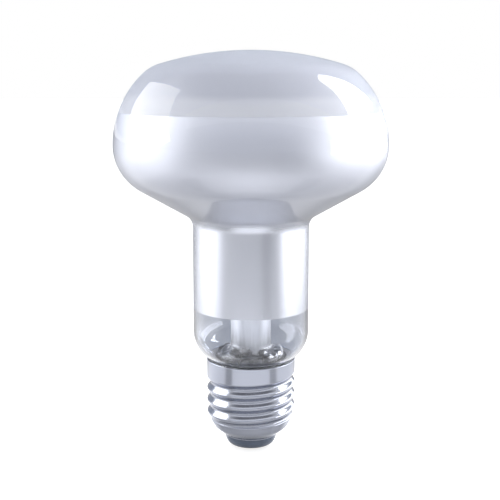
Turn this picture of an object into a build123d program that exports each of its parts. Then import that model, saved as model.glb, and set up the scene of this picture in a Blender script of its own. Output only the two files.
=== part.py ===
from build123d import *
import os
from math import cos, radians, sin, sqrt

# Screw-cap reflector bulb, cap down: blown envelope, mirror film, stem with its wires, and rolled cap.
# The origin is the tip of the centre contact and +Z runs up the axis. Lengths are millimetres, angles degrees.

# Blown envelope, from the crown down
overall_length = 118.0
bulb_radius = 40.0
crown_rise = 27.3
dome_radius = 90.0
dome_inset = 13.6
shoulder_radius = 12.0
lower_radius = 14.8
flank_angle = 30.0
neck_radius = 17.15
neck_fillet = 4.4
base_radius = 9.7
rim_gap = 0.78
tail_depth = 7.5
glass_wall = 0.8

# Mirror film on the inside of the bowl and neck
film_thickness = 0.15
film_below_crown = 17.9
clear_neck = 6.9

# Rolled screw cap, from its rim down
cap_length = 27.0
cap_radius = 13.2
cap_sheet = 0.3
taper_height = 10.5
knee_inset = 2.0
knee_height = 6.5
mouth_inset = 5.2
mouth_height = 3.9

# Right-hand thread rolled into the cap: flat roots and crests with sloping flanks
thread_pitch = 25.4 / 7
thread_depth = 1.1
thread_flat = 0.75
thread_below_rim = 5.5
thread_run_on = 36.0
groove_overcut = 0.15

# Insulator, centre contact and cement
waist_radius = 6.5
waist_height = 2.5
foot_radius = 5.4
plate_radius = 4.6
plate_thickness = 0.3
contact_bore = 1.1
solder_radius = 2.7
solder_flat = 1.3
solder_height = 0.3
cement_recess = 1.2

# Glass stem: flare, tube and flat pinch, with the exhaust tube inside
stem_radius = 6.0
stem_wall = 1.0
flare_land = 1.0
flare_length = 6.0
stem_length = 22.5
pinch_shoulder = 5.0
pinch_length = 7.0
pinch_thickness = 4.6
exhaust_radius = 2.2
exhaust_bore = 1.5
exhaust_drop = 6.0
exhaust_seal = 3.0
exhaust_tip_radius = 0.7

# Six-sided wires, filament and weld
wire_sides = 6
lead_radius = 0.2
lead_offset = 3.9
lead_clearance = 0.1
lead_rise = 5.0
centre_lead_slope = 3.0
centre_lead_gap = 0.9
side_lead_drop = 3.0
rim_reach = 0.3
filament_radius = 0.45
filament_rise = 30.0
filament_bow = 8.0
support_radius = 0.15
support_spacing = 1.0
support_root = 2.0
weld_radius = 0.5
weld_tip_radius = 0.2
weld_height = 0.4
weld_azimuth = 233.5

# Heights and radii that follow from the sizes above
root_radius = cap_radius - thread_depth
thread_bore = root_radius - cap_sheet
collar_bore = cap_radius - cap_sheet
base_centre = neck_radius - base_radius
widest_height = overall_length - crown_rise
dome_edge = bulb_radius - dome_inset
neck_end = cap_length + sqrt(base_radius**2 - (collar_bore - rim_gap - base_centre) ** 2)
film_top = overall_length - film_below_crown
film_bottom = neck_end + clear_neck
groove_height = cap_length - thread_below_rim
groove_half_width = (thread_pitch - thread_flat) / 2
groove_turns = int((groove_height - knee_height) / thread_pitch)
groove_bottom = groove_height - groove_turns * thread_pitch
groove_rise = (groove_turns + thread_run_on / 360) * thread_pitch
collar_step = groove_bottom + groove_rise + groove_half_width + cap_sheet
cement_top = cap_length - cement_recess
side_lead_radius = thread_bore - lead_clearance - lead_radius
rim_lead_radius = collar_bore - lead_clearance - lead_radius
tail_radius = side_lead_radius - lead_radius - lead_clearance
tail_end = cap_length - tail_depth
tail_top = neck_end - sqrt(base_radius**2 - (tail_radius - base_centre) ** 2)
foot_height = solder_height + plate_thickness


def bulb_joints():
    """Joints of the envelope's outline from crown to neck: point, outward normal, and what follows."""
    outward = Vector(1, 0)
    widest = Vector(bulb_radius, widest_height)
    dome_centre = Vector(0, overall_length - dome_radius)
    dome_normal = Vector(dome_edge, sqrt(dome_radius**2 - dome_edge**2)) / dome_radius
    shoulder_centre = dome_centre + dome_normal * (dome_radius - shoulder_radius)
    reach = shoulder_centre - widest
    side_radius = (shoulder_radius**2 - reach.dot(reach)) / (2 * (reach.X + shoulder_radius))
    side_centre = widest - outward * side_radius
    side_normal = (shoulder_centre - side_centre).normalized()
    flank_normal = Vector(sin(radians(flank_angle)), -cos(radians(flank_angle)))
    flank_start = widest + (flank_normal - outward) * lower_radius
    flank_end = at_radius(
        flank_start,
        flank_start + Vector(flank_normal.Y, -flank_normal.X),
        neck_radius + neck_fillet * (1 - flank_normal.X),
    )
    neck_start = flank_end + (flank_normal - outward) * neck_fillet
    return [
        (Vector(0, overall_length), Vector(0, 1), TangentArc),
        (dome_centre + dome_normal * dome_radius, dome_normal, TangentArc),
        (side_centre + side_normal * side_radius, side_normal, TangentArc),
        (widest, outward, TangentArc),
        (flank_start, flank_normal, Line),
        (flank_end, flank_normal, TangentArc),
        (neck_start, outward, Line),
        (Vector(neck_radius, neck_end), outward, None),
    ]


def draw_bulb(depth):
    """Draws the envelope's outline at a depth below its outer face."""
    for (point, normal, follow), (after, turned, _) in zip(joints, joints[1:]):
        ends = (point - normal * depth, after - turned * depth)
        if follow is TangentArc:
            TangentArc(*ends, tangent=(normal.Y, -normal.X))
        else:
            Line(*ends)
    base_drop = sqrt((base_radius - depth) ** 2 - (tail_radius - depth - base_centre) ** 2)
    tail_corner = (tail_radius - depth, neck_end - base_drop)
    TangentArc((neck_radius - depth, neck_end), tail_corner, tangent=(0, -1))
    Line(tail_corner, (tail_radius - depth, tail_end))


def close_bulb(outer, inner):
    """Draws the lines that join the outlines at two depths, at the crown and at the tail."""
    Line((0, overall_length - outer), (0, overall_length - inner))
    Line((tail_radius - outer, tail_end), (tail_radius - inner, tail_end))


def mitre(before, corner, after, inset):
    """Corner of an outline moved in by the sheet's thickness, square to both of its sides."""
    arriving = (corner - before).normalized()
    leaving = (after - corner).normalized()
    square = Vector(arriving.Y, -arriving.X)
    middle = (square + Vector(leaving.Y, -leaving.X)).normalized()
    return corner + middle * (inset / middle.dot(square))


def at_radius(start, end, radius):
    """Point of the line from start to end that has the given radius."""
    return start + (end - start) * ((radius - start.X) / (end.X - start.X))


def around(azimuth, radius, height):
    """Point at an azimuth, radius and height about the axis."""
    return Vector(radius * cos(radians(azimuth)), radius * sin(radians(azimuth)), height)


joints = bulb_joints()
bowl_foot = joints[5][0].Y
flare_radius = tail_radius - glass_wall
stem_bore = stem_radius - stem_wall
pinch_start = tail_end + stem_length
pinch_top = pinch_start + pinch_shoulder + pinch_length
filament_height = pinch_top + filament_rise
exhaust_tip = tail_end - exhaust_drop

# Tapered end of the cap: outside, and at the inside of the sheet
taper = Vector(cap_radius, taper_height)
knee = Vector(cap_radius - knee_inset, knee_height)
mouth = Vector(cap_radius - mouth_inset, mouth_height)
inner_taper = mitre(Vector(cap_radius, cap_length), taper, knee, cap_sheet)
inner_knee = mitre(taper, knee, mouth, cap_sheet)
inner_mouth = mitre(knee, mouth, mouth * 2 - knee, cap_sheet)

# Envelope of one even wall, kept as a bowl, a neck and a tail that meet where its outline turns inward
with BuildPart() as envelope:
    with BuildSketch(Plane.XZ):
        with BuildLine():
            draw_bulb(0)
            draw_bulb(glass_wall)
            close_bulb(0, glass_wall)
        make_face()
    revolve(axis=Axis.Z)

with BuildPart() as envelope_bowl:
    add(envelope.part)
    split(bisect_by=Plane.XY.offset(bowl_foot), keep=Keep.TOP)

with BuildPart() as envelope_neck:
    add(envelope.part)
    split(bisect_by=Plane.XY.offset(bowl_foot), keep=Keep.BOTTOM)
    split(bisect_by=Plane.XY.offset(tail_top), keep=Keep.TOP)

with BuildPart() as envelope_tail:
    add(envelope.part)
    split(bisect_by=Plane.XY.offset(tail_top), keep=Keep.BOTTOM)

# Mirror film on the glass, cut level at its two edges
with BuildPart() as reflector_coating:
    with BuildSketch(Plane.XZ):
        with BuildLine():
            draw_bulb(glass_wall)
            draw_bulb(glass_wall + film_thickness)
            close_bulb(glass_wall, glass_wall + film_thickness)
        make_face()
    revolve(axis=Axis.Z)
    split(bisect_by=Plane.XY.offset(film_top), keep=Keep.BOTTOM)
    split(bisect_by=Plane.XY.offset(film_bottom), keep=Keep.TOP)

# Cap shell: collar, barrel and tapered end, with the thread as a helical groove that runs out on the taper
with BuildPart() as cap_shell:
    with BuildSketch(Plane.XZ):
        with BuildLine():
            Polyline(
                (collar_bore, cap_length),
                (cap_radius, cap_length),
                taper,
                knee,
                mouth,
                inner_mouth,
                inner_knee,
                at_radius(inner_taper, inner_knee, thread_bore),
                (thread_bore, collar_step),
                (collar_bore, collar_step),
                close=True,
            )
        make_face()
    revolve(axis=Axis.Z)
    groove_reach = cap_radius + groove_overcut
    root_edge = Vector(root_radius, groove_bottom + thread_flat / 2)
    crest_edge = Vector(cap_radius, groove_bottom + groove_half_width)
    flank_edge = at_radius(root_edge, crest_edge, groove_reach)
    with BuildSketch(Plane.XZ):
        with BuildLine():
            Polyline(
                root_edge,
                flank_edge,
                flank_edge - Vector(0, 2 * (flank_edge.Y - groove_bottom)),
                root_edge - Vector(0, thread_flat),
                close=True,
            )
        make_face()
    with BuildLine(Plane.XY.offset(groove_bottom)) as groove_path:
        Helix(pitch=thread_pitch, height=groove_rise, radius=root_radius)
    sweep(path=groove_path.line, is_frenet=True, mode=Mode.SUBTRACT)
    groove_end = groove_path.line @ 1
    end_plane = Plane(groove_end, z_dir=(groove_end.X, groove_end.Y, 0))
    with Locations(end_plane):
        Cone(
            bottom_radius=thread_flat / 2,
            top_radius=flank_edge.Y - groove_bottom,
            height=groove_reach - root_radius,
            align=(Align.CENTER, Align.CENTER, Align.MIN),
            mode=Mode.SUBTRACT,
        )

# Dark glass insulator moulded into the tapered end
with BuildPart() as cap_insulator:
    with BuildSketch(Plane.XZ):
        with BuildLine():
            Polyline(
                (contact_bore, inner_knee.Y),
                inner_knee,
                inner_mouth,
                (waist_radius, waist_height),
                (foot_radius, foot_height),
                (contact_bore, foot_height),
                close=True,
            )
        make_face()
    revolve(axis=Axis.Z)

# Brass contact plate under the insulator
with BuildPart() as contact_plate:
    with BuildSketch(Plane.XY.offset(solder_height)):
        Circle(plate_radius)
        Circle(contact_bore, mode=Mode.SUBTRACT)
    extrude(amount=plate_thickness)

# Solder drop with a flat tip, run up into the bore of the plate
with BuildPart() as centre_solder:
    with BuildSketch(Plane.XZ):
        with BuildLine():
            Polyline(
                (0, 0),
                (solder_flat, 0),
                (solder_radius, solder_height),
                (contact_bore, solder_height),
                (contact_bore, foot_height),
                (0, foot_height),
                close=True,
            )
        make_face()
    revolve(axis=Axis.Z)

# Filament, hung in straight spans between its two leads and three supports
filament_points = {
    name: around(azimuth, filament_bow, filament_height)
    for name, azimuth in (("side", 135), ("left", 180), ("middle", 270), ("right", 360), ("centre", 405))
}
with BuildPart() as filament:
    with BuildLine() as filament_line:
        Polyline(*filament_points.values())
    with BuildSketch(filament_line.line ^ 0):
        Circle(filament_radius)
    sweep(path=filament_line.line, transition=Transition.RIGHT)

# Centre lead: from the filament down through the pinch, in to the axis and on to the solder
centre_turn = inner_knee.Y + centre_lead_gap
with BuildPart() as lead_wire_centre:
    with BuildLine() as centre_line:
        Polyline(
            (0, 0, foot_height),
            (0, 0, centre_turn),
            (lead_offset, 0, centre_turn + centre_lead_slope),
            (lead_offset, 0, pinch_top + lead_rise),
            filament_points["centre"],
        )
    with BuildSketch(centre_line.line ^ 0):
        RegularPolygon(lead_radius, wire_sides)
    sweep(path=centre_line.line, transition=Transition.RIGHT)
    add(filament.part, mode=Mode.SUBTRACT)

# Side lead: from the filament down through the pinch, under the tail, and up between glass and cap to the rim
side_turn = tail_end - side_lead_drop
with BuildPart() as lead_wire_side:
    with BuildLine() as side_line:
        Polyline(
            around(weld_azimuth, rim_lead_radius, cap_length),
            around(weld_azimuth, rim_lead_radius, cap_length - rim_reach),
            around(weld_azimuth, side_lead_radius, cement_top + lead_radius),
            around(weld_azimuth, side_lead_radius, side_turn),
            (-lead_offset, 0, side_turn),
            (-lead_offset, 0, pinch_top + lead_rise),
            filament_points["side"],
        )
    with BuildSketch(side_line.line ^ 0):
        RegularPolygon(lead_radius, wire_sides)
    sweep(path=side_line.line, transition=Transition.RIGHT)
    add(filament.part, mode=Mode.SUBTRACT)

# Stem: flared foot on the tail, tube, and a pinch squeezed flat round the two leads
with BuildPart() as glass_stem:
    with BuildSketch(Plane.XZ):
        with BuildLine():
            Polyline(
                (flare_radius, tail_end),
                (flare_radius, tail_end + flare_land),
                (stem_radius, tail_end + flare_length),
                (stem_radius, pinch_top),
                (0, pinch_top),
                (0, pinch_start),
                (stem_bore, pinch_start),
                (stem_bore, tail_end + flare_length - stem_wall),
                (flare_radius - stem_wall, tail_end),
                close=True,
            )
        make_face()
    revolve(axis=Axis.Z)
    pinch_edge = Vector(pinch_thickness / 2, pinch_start + pinch_shoulder)
    pinch_reach = at_radius(pinch_edge, Vector(stem_radius, pinch_start), 2 * stem_radius)
    for side in (1, -1):
        with BuildSketch(Plane.YZ):
            with BuildLine():
                Polyline(
                    (side * pinch_edge.X, pinch_top),
                    (side * pinch_edge.X, pinch_edge.Y),
                    (side * pinch_reach.X, pinch_reach.Y),
                    (side * pinch_reach.X, pinch_top),
                    close=True,
                )
            make_face()
        extrude(amount=2 * stem_radius, both=True, mode=Mode.SUBTRACT)
    add(lead_wire_centre.part, mode=Mode.SUBTRACT)
    add(lead_wire_side.part, mode=Mode.SUBTRACT)

# Exhaust tube, drawn to a sealed tip inside the cap
with BuildPart() as exhaust_tube:
    with BuildSketch(Plane.XZ):
        with BuildLine():
            Polyline(
                (0, exhaust_tip),
                (exhaust_tip_radius, exhaust_tip),
                (exhaust_radius, exhaust_tip + exhaust_seal),
                (exhaust_radius, pinch_start),
                (exhaust_bore, pinch_start),
                (exhaust_bore, exhaust_tip + exhaust_seal),
                (0, exhaust_tip + exhaust_seal),
                close=True,
            )
        make_face()
    revolve(axis=Axis.Z)

# Three thin supports, spread from the top of the pinch to the corners of the filament
supports = {}
for name, step in (("left", -1), ("middle", 0), ("right", 1)):
    with BuildPart() as support_wire:
        with BuildLine() as support_line:
            Line((step * support_spacing, 0, pinch_top - support_root), filament_points[name])
        with BuildSketch(support_line.line ^ 0):
            RegularPolygon(support_radius, wire_sides)
        sweep(path=support_line.line)
        split(bisect_by=Plane.XY.offset(pinch_top), keep=Keep.TOP)
        add(filament.part, mode=Mode.SUBTRACT)
    supports[name] = support_wire

# Cement ring between collar and tail, moulded round the side lead
with BuildPart() as cap_cement:
    with BuildSketch(Plane.XY.offset(collar_step)):
        Circle(collar_bore)
        Circle(tail_radius, mode=Mode.SUBTRACT)
    extrude(amount=cement_top - collar_step)
    add(lead_wire_side.part, mode=Mode.SUBTRACT)

# Weld drop that joins the end of the side lead to the rim of the cap
with BuildPart() as side_weld:
    with Locations(around(weld_azimuth, rim_lead_radius + weld_radius, cap_length)):
        Cone(
            weld_radius,
            weld_tip_radius,
            weld_height,
            align=(Align.CENTER, Align.CENTER, Align.MIN),
        )

pieces = {
    "envelope_bowl": envelope_bowl,
    "envelope_neck": envelope_neck,
    "envelope_tail": envelope_tail,
    "reflector_coating": reflector_coating,
    "glass_stem": glass_stem,
    "exhaust_tube": exhaust_tube,
    "filament": filament,
    "lead_wire_centre": lead_wire_centre,
    "lead_wire_side": lead_wire_side,
    "cap_shell": cap_shell,
    "cap_insulator": cap_insulator,
    "contact_plate": contact_plate,
    "centre_solder": centre_solder,
    "cap_cement": cap_cement,
    "side_weld": side_weld,
}
for name, support_wire in supports.items():
    pieces[f"support_wire_{name}"] = support_wire

os.makedirs("parts", exist_ok=True)
for name, piece in pieces.items():
    piece.part.label = name
    export_step(piece.part, f"parts/{name}.step")
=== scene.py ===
import math

import bmesh
import bpy
from bpy.props import FloatProperty, FloatVectorProperty, IntProperty, PointerProperty
from mathutils import Euler, Matrix, Vector, noise


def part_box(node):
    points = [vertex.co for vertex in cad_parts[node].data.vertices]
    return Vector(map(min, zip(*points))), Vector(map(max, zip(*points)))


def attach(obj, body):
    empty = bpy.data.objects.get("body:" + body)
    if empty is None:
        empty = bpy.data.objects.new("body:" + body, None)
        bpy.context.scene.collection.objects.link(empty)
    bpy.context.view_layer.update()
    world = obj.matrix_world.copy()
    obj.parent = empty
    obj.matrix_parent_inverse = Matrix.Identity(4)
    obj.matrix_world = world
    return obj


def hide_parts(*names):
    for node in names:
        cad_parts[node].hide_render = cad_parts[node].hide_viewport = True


bl_info = {
    "name": "Reflector Bulb",
    "version": (1, 0, 0),
    "blender": (4, 5, 0),
    "location": "View3D > Sidebar > Bulb",
    "description": "Dresses the solids of a screw-cap reflector bulb in glass, mirror film and rolled metal",
    "category": "Object",
}

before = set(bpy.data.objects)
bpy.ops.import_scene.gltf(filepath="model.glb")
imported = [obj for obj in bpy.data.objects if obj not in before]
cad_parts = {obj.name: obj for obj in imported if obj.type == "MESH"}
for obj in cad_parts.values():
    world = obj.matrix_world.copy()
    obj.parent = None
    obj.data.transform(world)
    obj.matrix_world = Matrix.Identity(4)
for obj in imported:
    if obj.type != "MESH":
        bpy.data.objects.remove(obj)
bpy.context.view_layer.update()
bowl_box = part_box("envelope_bowl")
tail_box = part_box("envelope_tail")
film_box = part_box("reflector_coating")
stem_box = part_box("glass_stem")
shell_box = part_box("cap_shell")
insulator_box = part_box("cap_insulator")
plate_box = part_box("contact_plate")
weld_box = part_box("side_weld")
tube_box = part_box("exhaust_tube")
drop_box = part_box("centre_solder")
cement_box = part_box("cap_cement")

# Places nearer to each other than this, in metres, count as one
tolerance = 1e-6

# Sizes of the cap that the tree which rolls it takes as inputs
shell_amounts = ("rim", "radius", "taper", "knee_radius", "knee", "mouth_radius", "mouth")
shell_amounts += ("pitch", "depth", "groove", "fade", "blend")


def length(name, description, default):
    """A property for a length in metres."""
    return FloatProperty(name=name, description=description, default=default, precision=5, unit="LENGTH")


def angle(name, description, degrees):
    """A property for an angle."""
    return FloatProperty(name=name, description=description, default=math.radians(degrees), subtype="ANGLE")


def amount(name, description, default):
    """A property for a plain number."""
    return FloatProperty(name=name, description=description, default=default, min=0.0)


def whole(name, description, default):
    """A property for a number of steps."""
    return IntProperty(name=name, description=description, default=default, min=3)


def tint(name, description, default):
    """A property for a colour."""
    return FloatVectorProperty(
        name=name, description=description, default=default, min=0.0, max=1.0, subtype="COLOR"
    )


class BulbSizes(bpy.types.PropertyGroup):
    """Sizes of the blown glass and of what is inside it."""

    crown: length("Crown Height", "Top of the dome above the contact", bowl_box[1].z)
    radius: length("Bulb Radius", "Radius at the widest part of the bowl", bowl_box[1].x)
    crown_rise: length("Crown Rise", "Height of the crown above the widest part", 0.0273)
    dome_radius: length("Dome Radius", "Radius of the arc across the dome", 0.090)
    dome_inset: length("Dome Inset", "Distance of the dome's edge in from the widest part", 0.0136)
    shoulder_radius: length("Shoulder Radius", "Radius between dome and side", 0.012)
    lower_radius: length("Lower Radius", "Radius between side and flank", 0.0148)
    flank: angle("Flank Angle", "Slope of the flank above the level", 30.0)
    neck_radius: length("Neck Radius", "Radius of the neck", 0.01715)
    neck_fillet: length("Neck Fillet", "Radius between flank and neck", 0.0044)
    base_radius: length("Base Radius", "Radius between neck and tail", 0.0097)
    neck_end: length("Neck End", "Height where the neck starts to close in", 0.0355)
    tail_radius: length("Tail Radius", "Radius of the tail inside the cap", tail_box[1].x)
    tail_end: length("Tail End", "Height of the tail's lower edge", tail_box[0].z)
    wall: length("Wall", "Thickness of the glass", 0.0008)
    film_top: length("Film Top", "Upper edge of the mirror film", film_box[1].z)
    film_bottom: length("Film Bottom", "Lower edge of the mirror film", film_box[0].z)
    film_thickness: length("Film Thickness", "Thickness of the film's solid", 0.00015)
    film_bond: length("Film Bond", "How far the film's face lies in the glass, so that no gap shows", 0.00003)
    stem_radius: length("Stem Radius", "Outer radius of the stem's tube", 0.006)
    stem_wall: length("Stem Wall", "Wall of the stem's tube", 0.001)
    seal: length("Seal Height", "Height where the stem's flare meets the glass", 0.0274)
    pinch_start: length("Pinch Start", "Height where the tube closes to the pinch", 0.042)
    pinch_thickness: length("Pinch Thickness", "Thickness of the flat pinch", 0.0046)
    pinch_run: length("Pinch Run", "Height in which the tube flattens to the pinch", 0.005)
    stem_rounding: length("Stem Rounding", "Radius of the stem's upper edge", 0.001)
    flare_lumps: length("Flare Lumps", "Height of the lumps on the melted flare", 0.0012)
    flare_waves: amount("Flare Waves", "Share by which the melted flare draws in", 0.05)
    tube_wall: length("Tube Wall", "Wall of the exhaust tube", 0.0007)
    tube_tip: length("Tube Tip", "Height of the exhaust tube's sealed end", 0.003)
    segments: whole("Segments", "Faces round the axis", 144)


class CapSizes(bpy.types.PropertyGroup):
    """Sizes of the rolled cap and its contact."""

    rim: length("Rim Height", "Upper edge of the collar", shell_box[1].z)
    radius: length("Barrel Radius", "Radius over the crests of the thread", shell_box[1].x)
    sheet: length("Sheet", "Thickness of the rolled sheet", 0.0003)
    taper: length("Taper Height", "Height where the barrel starts to close in", 0.0105)
    knee_radius: length("Knee Radius", "Radius at the knee of the tapered end", 0.0112)
    knee: length("Knee Height", "Height of the knee", 0.0065)
    mouth_radius: length("Mouth Radius", "Radius of the lower edge", 0.008)
    mouth: length("Mouth Height", "Height of the lower edge", shell_box[0].z)
    lip: length("Lip Radius", "Radius of the rolled lower lip", 0.00034)
    pitch: length("Thread Pitch", "Rise of the thread in one turn", 0.0254 / 7)
    depth: length("Thread Depth", "Depth of the thread's groove", 0.0011)
    groove: length("Groove Height", "Height of the uppermost full groove on +X", 0.0215)
    fade: amount("Groove Fade", "Part of a turn in which the groove fades in", 0.3)
    blend: length("Blend", "Rounding between the thread and the tapered end", 0.0006)
    around: whole("Steps Around", "Points round the rolled sheet", 217)
    along: whole("Steps Along", "Points from the rim to the lower edge", 150)
    bore: length("Contact Bore", "Radius of the hole through the insulator and the plate", 0.0011)
    insulator_top: length("Insulator Top", "Radius of the insulator's upper face", 0.0106)
    insulator_knee: length("Insulator Knee", "Radius of the insulator at the cap's knee", 0.0109)
    insulator_end: length("Insulator End", "Radius where the insulator's rounded end starts", 0.0078)
    insulator_flat: length("Insulator Flat", "Radius of the flat under the insulator", 0.0051)
    insulator_round: length("Insulator Rounding", "Height of the insulator's rounded end", 0.0036)


class WireSizes(bpy.types.PropertyGroup):
    """Sizes of the leads, the filament and its supports."""

    lead_radius: length("Lead Radius", "Radius of a lead", 0.0002)
    support_radius: length("Support Radius", "Radius of a support", 0.00015)
    bend_radius: length("Bend Radius", "Radius of the bends in a lead", 0.0008)
    lead_offset: length("Lead Offset", "Distance of a lead from the axis inside the stem", 0.0039)
    lead_exit: length("Lead Exit", "Height where a lead turns out to the filament", 0.059)
    support_foot: length("Support Foot", "Height of a support's foot in the pinch", 0.053)
    support_pitch: length("Support Pitch", "Distance between the feet of the supports", 0.001)
    ring_radius: length("Ring Radius", "Radius of the ring that the filament follows", 0.008)
    ring_height: length("Ring Height", "Height of the filament", 0.084)
    coil_bend: length("Coil Bend", "Radius of the filament's bends", 0.003)
    coil_radius: length("Coil Radius", "Radius of the filament's coil", 0.00038)
    coil_wire: length("Coil Wire", "Radius of the filament's own wire", 0.00006)
    coil_turns: amount("Coil Turns", "Turns of the filament's coil", 150.0)
    coil_steps: whole("Coil Steps", "Points along the filament's coil", 1800)


class FinishColours(bpy.types.PropertyGroup):
    """Colours of the finishes."""

    glass: tint("Glass", "Clear glass", (0.97, 0.98, 1.0))
    haze: tint("Haze", "Glass below the film", (0.91, 0.925, 0.965))
    silver: tint("Silver", "Metal mist on the stem below the film", (0.93, 0.95, 0.99))
    frost: tint("Frost", "Frosted inside of the dome", (0.80, 0.822, 0.902))
    # Painted glow: frost made paler beside the film's edge, in place of the light the film throws on it from
    # behind
    frost_painted_glow: tint("Frost Rim", "Frost beside the film's edge", (0.92, 0.938, 1.0))
    film: tint("Film", "Aluminium mirror film", (0.74, 0.76, 0.83))
    mirror: tint("Mirror", "Bright inner face of the mirror film", (0.90, 0.90, 0.91))
    cap: tint("Cap", "Bright rolled cap", (0.39, 0.41, 0.475))
    insulator: tint("Insulator", "Dark moulded glass", (0.085, 0.112, 0.165))
    brass: tint("Brass", "Contact plate", (0.70, 0.54, 0.27))
    solder: tint("Solder", "Solder and weld drops", (0.62, 0.63, 0.66))
    lead: tint("Lead", "Lead wires", (0.60, 0.55, 0.50))
    support: tint("Support", "Support wires", (0.42, 0.42, 0.45))
    filament: tint("Filament", "Filament coil", (0.22, 0.22, 0.24))
    cement: tint("Cement", "Cement ring", (0.68, 0.69, 0.71))


class StageSettings(bpy.types.PropertyGroup):
    """Floor, lights and surroundings."""

    floor: tint("Floor", "Pale floor", (0.90, 0.90, 0.91))
    front: tint("Front", "Shade of the room on the camera's side", (0.82, 0.84, 0.90))
    rear: tint("Rear", "Shade of the room behind, in reflections", (0.54, 0.58, 0.66))
    ceiling: tint("Ceiling", "Shade of the room overhead", (0.30, 0.30, 0.32))
    fill: amount("Fill", "Strength of the surroundings as a light", 0.8)
    left: amount("Left Softbox", "Brightness of the softbox on the left", 2.8)
    right: amount("Right Softbox", "Brightness of the tall softbox on the right", 11.0)
    top: amount("Top Softbox", "Brightness of the wide softbox over the camera", 0.5)
    low: amount("Low Softbox", "Brightness of the low softbox on the right", 3.9)


class Wire:
    """An output socket that takes part in Python sums, each of which adds a Math node."""

    def __init__(self, nodes, socket):
        self.nodes = nodes
        self.socket = socket

    def math(self, operation, *values):
        return self.nodes.add("ShaderNodeMath", {"operation": operation}, dict(enumerate(values)))

    def __add__(self, other):
        return self.math("ADD", self, other)

    def __radd__(self, other):
        return self.math("ADD", other, self)

    def __sub__(self, other):
        return self.math("SUBTRACT", self, other)

    def __rsub__(self, other):
        return self.math("SUBTRACT", other, self)

    def __mul__(self, other):
        return self.math("MULTIPLY", self, other)

    def __rmul__(self, other):
        return self.math("MULTIPLY", other, self)

    def __truediv__(self, other):
        return self.math("DIVIDE", self, other)

    def __rtruediv__(self, other):
        return self.math("DIVIDE", other, self)

    def __pow__(self, other):
        return self.math("POWER", self, other)

    def __neg__(self):
        return self.math("MULTIPLY", self, -1.0)

    def also(self, name):
        """Another output of the same node."""
        return Wire(self.nodes, self.socket.node.outputs[name])


class Nodes:
    """A node tree being filled."""

    def __init__(self, tree):
        self.tree = tree
        tree.nodes.clear()

    def add(self, kind, settings=None, sockets=None, out=0):
        """Adds a node with its settings, then its sockets' values or links, and gives one of its outputs."""
        node = self.tree.nodes.new(kind)
        for key, value in (settings or {}).items():
            setattr(node, key, value)
        for key, value in (sockets or {}).items():
            if isinstance(value, Wire):
                self.tree.links.new(value.socket, node.inputs[key])
            else:
                node.inputs[key].default_value = value
        return Wire(self, node.outputs[out]) if len(node.outputs) else None

    def mix(self, factor, first, second):
        """Mix of two colours."""
        return self.add("ShaderNodeMix", {"data_type": "RGBA"}, {0: factor, 6: first, 7: second}, 2)

    def shades(self, factor, colour, low, high):
        """Mix of two shades of a colour, each given as a share of it."""
        return self.mix(factor, opaque(colour, low), opaque(colour, high))

    def step(self, value, low, high):
        """Smooth step from 0 at low to 1 at high."""
        sockets = {"Value": value, "From Min": low, "From Max": high}
        return self.add("ShaderNodeMapRange", {"interpolation_type": "SMOOTHSTEP"}, sockets)

    def zone(self, *limits):
        """Product of smooth steps, each given as a value, where it is 0 and where it is 1."""
        first, *others = [self.step(*limit) for limit in limits]
        return math.prod(others, start=first)

    def place(self):
        """Place in the piece's own frame: X, with Y and Z as other outputs of the same node."""
        return self.add("ShaderNodeSeparateXYZ", {}, {0: self.add("ShaderNodeTexCoord", out="Object")})

    def grain(self, scale, detail, stretch=(1.0, 1.0, 1.0)):
        """Noise over the piece's own place, stretched along its axes."""
        place = self.add("ShaderNodeTexCoord", out="Object")
        place = self.add("ShaderNodeMapping", {"vector_type": "POINT"}, {"Vector": place, "Scale": stretch})
        return self.add("ShaderNodeTexNoise", {}, {"Vector": place, "Scale": scale, "Detail": detail})

    def bump(self, height, strength, distance):
        """Normal that follows a height."""
        return self.add("ShaderNodeBump", {}, {"Strength": strength, "Distance": distance, "Height": height})


def opaque(colour, share=1.0):
    """A colour with alpha, made darker or paler by a share."""
    return tuple(min(1.0, part * share) for part in colour) + (1.0,)


def finish_of(name, build=None):
    """A material by name, made once from its builder, or from the grained finishes if it has none.
    A builder gives the Principled shader's sockets, or a whole shader."""
    made = bpy.data.materials.get(name)
    if made is None:
        made = bpy.data.materials.new(name)
        made.use_nodes = True
        nodes = Nodes(made.node_tree)
        surface = build(nodes) if build else grained(nodes, *grained_finishes[name])
        if not isinstance(surface, Wire):
            surface = nodes.add("ShaderNodeBsdfPrincipled", {}, surface)
        nodes.add("ShaderNodeOutputMaterial", {}, {"Surface": surface})
    return made


def colours():
    """The scene's finish colours."""
    return bpy.context.scene.bulb_colours


def clear_glass(nodes):
    """Clear blown glass with faint drawn cords, greyed below the film by a thin haze of its metal."""
    cords = nodes.grain(90.0, 2.0, (1.0, 1.0, 0.15))
    height = nodes.place().also("Z")
    edge = bpy.context.scene.bulb_sizes.film_bottom
    blur = 0.0005
    haze = nodes.step(height, edge + blur, edge - blur) * (0.9 + cords * 0.2)
    return {
        "Base Color": nodes.mix(haze, opaque(colours().glass), opaque(colours().haze)),
        "Roughness": cords * 0.01,
        "IOR": 1.5,
        "Transmission Weight": 1.0,
        "Normal": nodes.bump(cords, 0.06, 0.0004),
    }


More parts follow.
